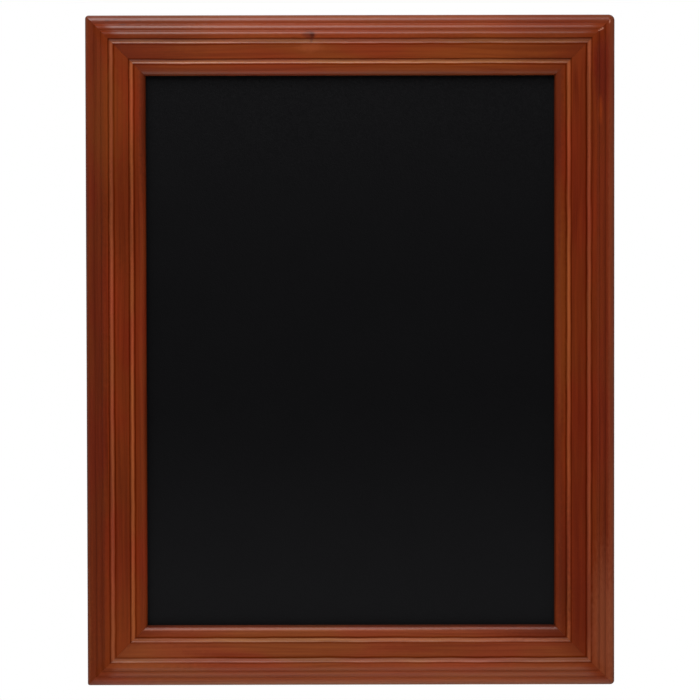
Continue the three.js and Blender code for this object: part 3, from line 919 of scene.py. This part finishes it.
def retaining_point():
    tab = arc(-1.8, -6.8, 1.2, 180, 270, 6) + arc(1.8, -6.8, 1.2, 270, 360, 6)
    outline = tab + [(POINT_HALF, 4.5), (0.2, POINT_TIP), (-0.2, POINT_TIP), (-POINT_HALF, 4.5)]
    plate = slab("tab", outline, POINT_LOW, POINT_HIGH, nail_steel, 0.06)
    rib = []
    for share in np.linspace(0, 1, 13):
        swell = math.sin(math.pi * share) ** 0.5
        half, rise, z = 0.85 * swell, 0.32 * swell, -0.9 - 5.2 * share
        rib.append([(half * math.cos(t), POINT_HIGH + rise * math.sin(t), z)
                    for t in np.radians(np.linspace(0, 360, 24, endpoint=False))])
    return joined("retaining_point", [plate, loft("rib", rib, nail_steel)])


point_places = []
for i, (span, offset, count) in enumerate(POINT_ROWS):
    turn = math.radians(90 * i)
    for k in range(count):
        along, out = span * ((k + 0.5) / count - 0.5), offset - RABBET_WALL
        x = along * math.cos(turn) + out * math.sin(turn)
        z = out * math.cos(turn) - along * math.sin(turn)
        point_places.append((x, BACK_FACE, z, 90 * i))
retaining_points = set_out("retaining_points", retaining_point(), point_places)

# %% [markdown]
# Each hanger is a D-ring in a folded steel strap. The strap starts against the wood, runs up,
# turns round the ring's straight bar, and comes down over itself. Its lower end is round. The
# route is drawn from the side, and a rounded strip follows it.

# %% Fold the straps
PIVOTS = [(-175.45, -2.2, 146), (175.45, -2.2, 146)]
SCREW_DROP, HOLE_RADIUS = 16, 2.05
STRAP_HALF, STRAP_END, STRAP_THICK, STRAP_RIM = 4.75, -21, 0.6, 0.14
LEAF, FOLDED_LEAF = -1.5, -0.8


def drill_bit(low, high, finish):
    """A cylinder as wide as the screws' holes."""
    profile = [(0, low), (HOLE_RADIUS, low), (HOLE_RADIUS, high), (0, high)]
    return lathe("drill_bit", profile, finish)


def strap():
    turns = np.linspace(0.12, math.pi / 2, 14)
    round_end = [STRAP_END + STRAP_HALF * (1 - math.cos(t)) for t in turns]
    straight = list(np.linspace(round_end[-1], -4, 8)[1:])
    route = [(LEAF, z) for z in (*round_end, *straight, -1.5)]
    route += arc(0, 0, -LEAF, 180, -45, 40) + [(-0.62, -2.74), (-0.76, -2.96), (-0.8, -3.3)]
    route += [(FOLDED_LEAF, z) for z in (*straight[::-1], *round_end[::-1])]
    route = np.array(route)
    ahead = np.gradient(route, axis=0)
    ahead /= np.linalg.norm(ahead, axis=1, keepdims=True)
    wide, flat = STRAP_HALF - STRAP_RIM, STRAP_THICK / 2 - STRAP_RIM
    section = []
    for x, y, first in ((1, 1, 0), (-1, 1, 90), (-1, -1, 180), (1, -1, 270)):
        section += arc(x * wide, y * flat, STRAP_RIM, first, first + 90, 5)
    loops = []
    for (y, z), (dy, dz) in zip(route, ahead):
        beyond = max(0.0, STRAP_END + STRAP_HALF - z) / STRAP_HALF
        narrow = math.sqrt(max(1 - beyond**2, 0))
        loops.append([(u * narrow, y + v * dz, z - v * dy) for u, v in section])
    drill = drill_bit(-4, 2, zinc_plate)
    return carve(loft("strap", loops, zinc_plate), [moved(drill, 0, 0, -SCREW_DROP)])


hanger_straps = set_out("hanger_straps", strap(), [(*pivot, 0) for pivot in PIVOTS])

# %% [markdown]
# The rings and the screws' threads are both wire that follows a route, so one tree makes both:
# it turns a line of points into a curve and sweeps a circle along it. The wire's cut ends butt
# together inside the strap, where no one sees them.

# %% Bend the D-rings
graph, given = new_tree("wire", {"Radius": 0.0009, "Sides": 28, "Material": None})
route = graph.node("GeometryNodeMeshToCurve", {0: given("Geometry")})
sockets = {"Radius": given("Radius"), "Resolution": given("Sides")}
section = graph.node("GeometryNodeCurvePrimitiveCircle", sockets)
sockets = {"Curve": route, "Profile Curve": section, "Fill Caps": True}
wire = close_tree(graph, graph.node("GeometryNodeCurveToMesh", sockets), given("Material"))
RING_LEAN = math.asin(0.6 / 9.35)
bend = [(0.15, 0), *arc(4.95, 2.2, 2.2, -90, 0, 14), *arc(0, 2.2, 7.15, 0, 180, 72)[1:-1]]
bend += [*arc(-4.95, 2.2, 2.2, 180, 270, 14), (-0.15, 0)]
rings = {}
for side_name, pivot in zip(("left", "right"), PIVOTS):
    route = polyline([(x * MM, 0, z * MM) for x, z in bend], side_name + "_route")
    settings = {"Radius": 0.9 * MM, "Material": zinc_plate}
    ring = run_tree(wire, route, side_name + "_d_ring", settings)
    rings[side_name + "_ring"] = crisp(moved(ring, *pivot, lean=RING_LEAN))

# %% [markdown]
# A pan-head wood screw holds each strap. The head is turned, with a cross recess pressed in
# that narrows downwards. The thread is a thin wire wound round the core. No two screws stop at
# the same angle, so the crosses point different ways.

# %% Turn the screws
UNDER_HEAD, HEAD_RADIUS, HEAD_RISE, CORE, NECK = -0.5, 3.5, 1.9, 1.3, 1.7
THREAD_TURNS, THREAD_LENGTH, THREAD_RADIUS = 5.2, 8.6, 0.38 * MM


def cross_blades():
    """The two bars of the cross recess, which narrow downwards."""
    blades = []
    for turn in (0, math.pi / 2):
        wings = [[(0.5 * s * x, y, 2.05 * s * z) for x, z in ((1, 1), (-1, 1), (-1, -1), (1, -1))]
                 for y, s in ((UNDER_HEAD + 0.45, 0.5), (UNDER_HEAD + 2.2, 1.0))]
        blades.append(moved(loft("blade", wings, zinc_plate), 0, 0, 0, turn))
    return blades


def screw():
    profile = [(0, -12), (0.35, -11.2), (CORE, -9), (CORE, -1.5), (NECK, -0.9), (NECK, 0)]
    profile += [(3.3, 0), (3.45, 0.12), (3.49, 0.3)]
    profile += [(HEAD_RADIUS * math.cos(t) ** 0.5, HEAD_RISE * math.sin(t))
                for t in np.radians(np.linspace(14, 86, 14))]
    profile = [(r, UNDER_HEAD + y) for r, y in [*profile, (0, HEAD_RISE)]]
    body = lathe("screw", profile, zinc_plate)
    for blade in cross_blades():
        body = carve(body, [blade])
    helix = []
    for share in np.linspace(0, 1, 220):
        radius = CORE * min(1, 0.25 + 3 * share) * MM
        turn = THREAD_TURNS * 2 * math.pi * share
        height = (UNDER_HEAD - 11 + THREAD_LENGTH * share) * MM
        helix.append((radius * math.cos(turn), height, radius * math.sin(turn)))
    settings = {"Radius": THREAD_RADIUS, "Sides": 10, "Material": zinc_plate}
    return joined("screw", [body, run_tree(wire, polyline(helix, "helix"), "thread", settings)])


places = [(x, y, z - SCREW_DROP, turn) for (x, y, z), turn in zip(PIVOTS, (24, 67))]
hanger_screws = set_out("hanger_screws", screw(), places)

# %% [markdown]
# Two rubber bumpers near the bottom keep the frame off the wall, so that it hangs straight and
# doesn't mark the paint. They are moulded, with a round shoulder and a slightly domed face.

# %% Mould the bumpers
bumper = [(0, 0), (4.9, 0), (5, 0.15), (4.97, 2.7)]
bumper += [*arc(3.9, 2.75, 1.07, 0, 84, 14), (3.2, 3.9), (1.6, 3.97), (0, 4)]
bumper_places = [(x, BACK_FACE, -225, 0) for x in (-175.45, 175.45)]
bumpers = set_out("wall_bumpers", lathe("bumper", bumper, rubber), bumper_places)

# %% [markdown]
# Now the wood gets the holes that the hardware stands in: V-shaped slots for the nails, flat
# slots for the points, and pilot holes for the screws. The slots are a little larger than the
# steel, which leaves a fine dark line round each nail, as the torn fibres do.

# %% Cut the slots and pilot holes
ROOM = 0.3


def openings(i, name):
    """What the hardware needs out of stick number i."""
    finish = wood_of[name]
    tools = []
    for corner in ((i - 1) % 4, i):
        for x, y, z, turn in nail_places[2 * corner:2 * corner + 2]:
            leg, thickness = NAIL_LEG + ROOM, NAIL_THICK + 2 * ROOM
            slot = v_nail("slot", leg, thickness, NAIL_LOW - ROOM, ROOM, finish)
            tools.append(moved(slot, x, y, z, math.radians(turn)))
    for x, y, z, turn in point_places:
        if turn == 90 * i:
            half, tip = POINT_HALF + ROOM, POINT_TIP + ROOM
            mouth = [(half, tip), (-half, tip), (-half, -3), (half, -3)]
            slot = slab("slot", mouth, POINT_LOW - ROOM, POINT_HIGH + ROOM, finish)
            tools.append(moved(slot, x, y, z, math.radians(turn)))
    for x, y, z in PIVOTS:
        if name == ("left_stile" if x < 0 else "right_stile"):
            tools.append(moved(drill_bit(-12.8, 12, finish), x, y, z - SCREW_DROP))
    return tools


for i, name in enumerate(STICKS):
    tools = openings(i, name)
    sticks[name] = carve(sticks[name], tools)
    print(name, "has", len(tools), "openings and", len(sticks[name].data.polygons), "faces")

# %% [markdown]
# The photograph's light can be read from the moulding. Every highlight on the rails sits where
# the wood tips about 22 degrees upwards, so the key light was large and stood 45 to 50 degrees
# up, in front. The stiles shine only on their flutes, so nothing bright stood at the sides. Two
# weak lights stand for what the dim room gave back, and the lacquer doesn't mirror them.
#
# The background is pure white to the camera alone. What the wood sees in its reflections is
# a dim room in front and the white sweep behind.

# %% Light it as in the photograph
AMBIENT, AMBIENT_BEHIND, FRONT_ROOM = 0.30, 0.7, 0.05
LIGHTS = {
    "key_light": ((-0.45, -1.1, 1.5), (0, 0, 0), (1.8, 1.4), 33, True),
    "side_light": ((1.7, -1.2, 0.2), (0, 0, 0), (0.7, 1.2), 2, False),
    "low_light": ((0.1, -0.8, -0.95), (0, 0, -0.15), (1.4, 0.6), 3, False),
}


def soft_light(name, at, aim_at, size, watts, mirrored):
    light = put(bpy.data.lights.new(name, "AREA"), name)
    light.data.shape = "RECTANGLE"
    light.data.size, light.data.size_y = size
    light.data.energy = watts
    light.visible_glossy = mirrored
    way = Vector(aim_at) - Vector(at)
    light.matrix_world = Matrix.Translation(at) @ way.to_track_quat("-Z", "Y").to_matrix().to_4x4()
    print(name, "gives", watts, "watts from", round(way.length, 2), "metres")


for name, light in LIGHTS.items():
    soft_light(name, *light)

world = bpy.data.worlds.new("white_sweep")
world.use_nodes = True
world.node_tree.nodes.clear()
graph = Graph(world.node_tree)
path = graph.node("ShaderNodeLightPath", output="Is Camera Ray")
seen = path.maths("MAXIMUM", path.out("Is Transmission Ray"))
toward = graph.node("ShaderNodeTexCoord", output="Generated")
behind = ease(split(toward)[1], -0.1, 0.7)
mirrored = behind * (1 - FRONT_ROOM) + FRONT_ROOM
scattered = behind * (AMBIENT_BEHIND - AMBIENT) + AMBIENT
glossy = path.out("Is Glossy Ray")
unseen = mirrored * glossy + scattered * (1 - glossy)
level = seen + (1 - seen) * unseen
sockets = {"Color": join(graph, level, level, level), "Strength": 1.0}
shader = graph.node("ShaderNodeBackground", sockets)
graph.node("ShaderNodeOutputWorld", {"Surface": shader}, None)
scene.world = world

# %% [markdown]
# The picture shows no floor, because the board hangs well above it. The scene still has a pale
# one, far below, which catches the board's soft shadow and sends some light back up. Towards
# its rim it fades into the white of the sweep, and it can't be seen from underneath.

# %% Lay the pale floor
FLOOR_DROP, FLOOR_RADIUS, FLOOR_SIDES = 1.15, 4.0, 96

graph = new_finish("pale_floor")
x, y, z = place(graph)
rim = ease((x ** 2 + y ** 2) ** 0.5, 0.5, FLOOR_RADIUS - 0.1)
seen = graph.node("ShaderNodeLightPath", output="Is Camera Ray")
under = graph.node("ShaderNodeNewGeometry", output="Backfacing")
paint = graph.node("ShaderNodeBsdfDiffuse", {"Color": srgb(236, 235, 232)})
white = graph.node("ShaderNodeEmission", {"Color": grey(1), "Strength": 1.0})
clear = graph.node("ShaderNodeBsdfTransparent")
top = graph.node("ShaderNodeMixShader", {0: rim * seen, 1: paint, 2: white})
both = graph.node("ShaderNodeMixShader", {0: under, 1: top, 2: clear})
graph.node("ShaderNodeOutputMaterial", {"Surface": both}, None)
circle = arc(0, 0, FLOOR_RADIUS, 0, 360, FLOOR_SIDES + 1)[:-1]
mesh = bpy.data.meshes.new("floor")
mesh.from_pydata([(x, y, -FLOOR_DROP) for x, y in circle], [], [list(range(FLOOR_SIDES))])
mesh.materials.append(graph.owner)
put(mesh, "floor")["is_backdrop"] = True

# %% [markdown]
# Last, every piece is tied to the body it moves with, and the CAD parts it stands for are
# hidden. The whole is then measured beside the imported model's own size.

# %% Tie the pieces to the frame
def tie(piece, body, slot, *nodes):
    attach(piece, body)
    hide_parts(*nodes)


for name, piece in sticks.items():
    tie(piece, "frame", "stained_wood", name)
for name, piece in rings.items():
    tie(piece, name, "zinc_plate", name.replace("_ring", "_hanger_ring"))
TRIM = [
    (v_nails, "nail_steel", "v_nail"), (retaining_points, "nail_steel", "_point_"),
    (hanger_straps, "zinc_plate", "hanger_strap"), (hanger_screws, "zinc_plate", "hanger_screw"),
    (bumpers, "bumper_rubber", "bumper"),
]
for piece, slot, word in TRIM:
    tie(piece, "frame", slot, *[name for name in cad if word in name])

BOARD = {"writing_sheet": laminate, "core_board": fibreboard, "back_liner": liner_paper}
for name, finish in BOARD.items():
    for slot in cad[name].material_slots:
        slot.material = finish

# %% Measure and finish
size = {"cad": [list(c) for c in cad_box], "visual": [list(c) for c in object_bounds()]}
for name, (low, high) in size.items():
    print(name, [round((b - a) / MM, 2) for a, b in zip(low, high)], "mm")
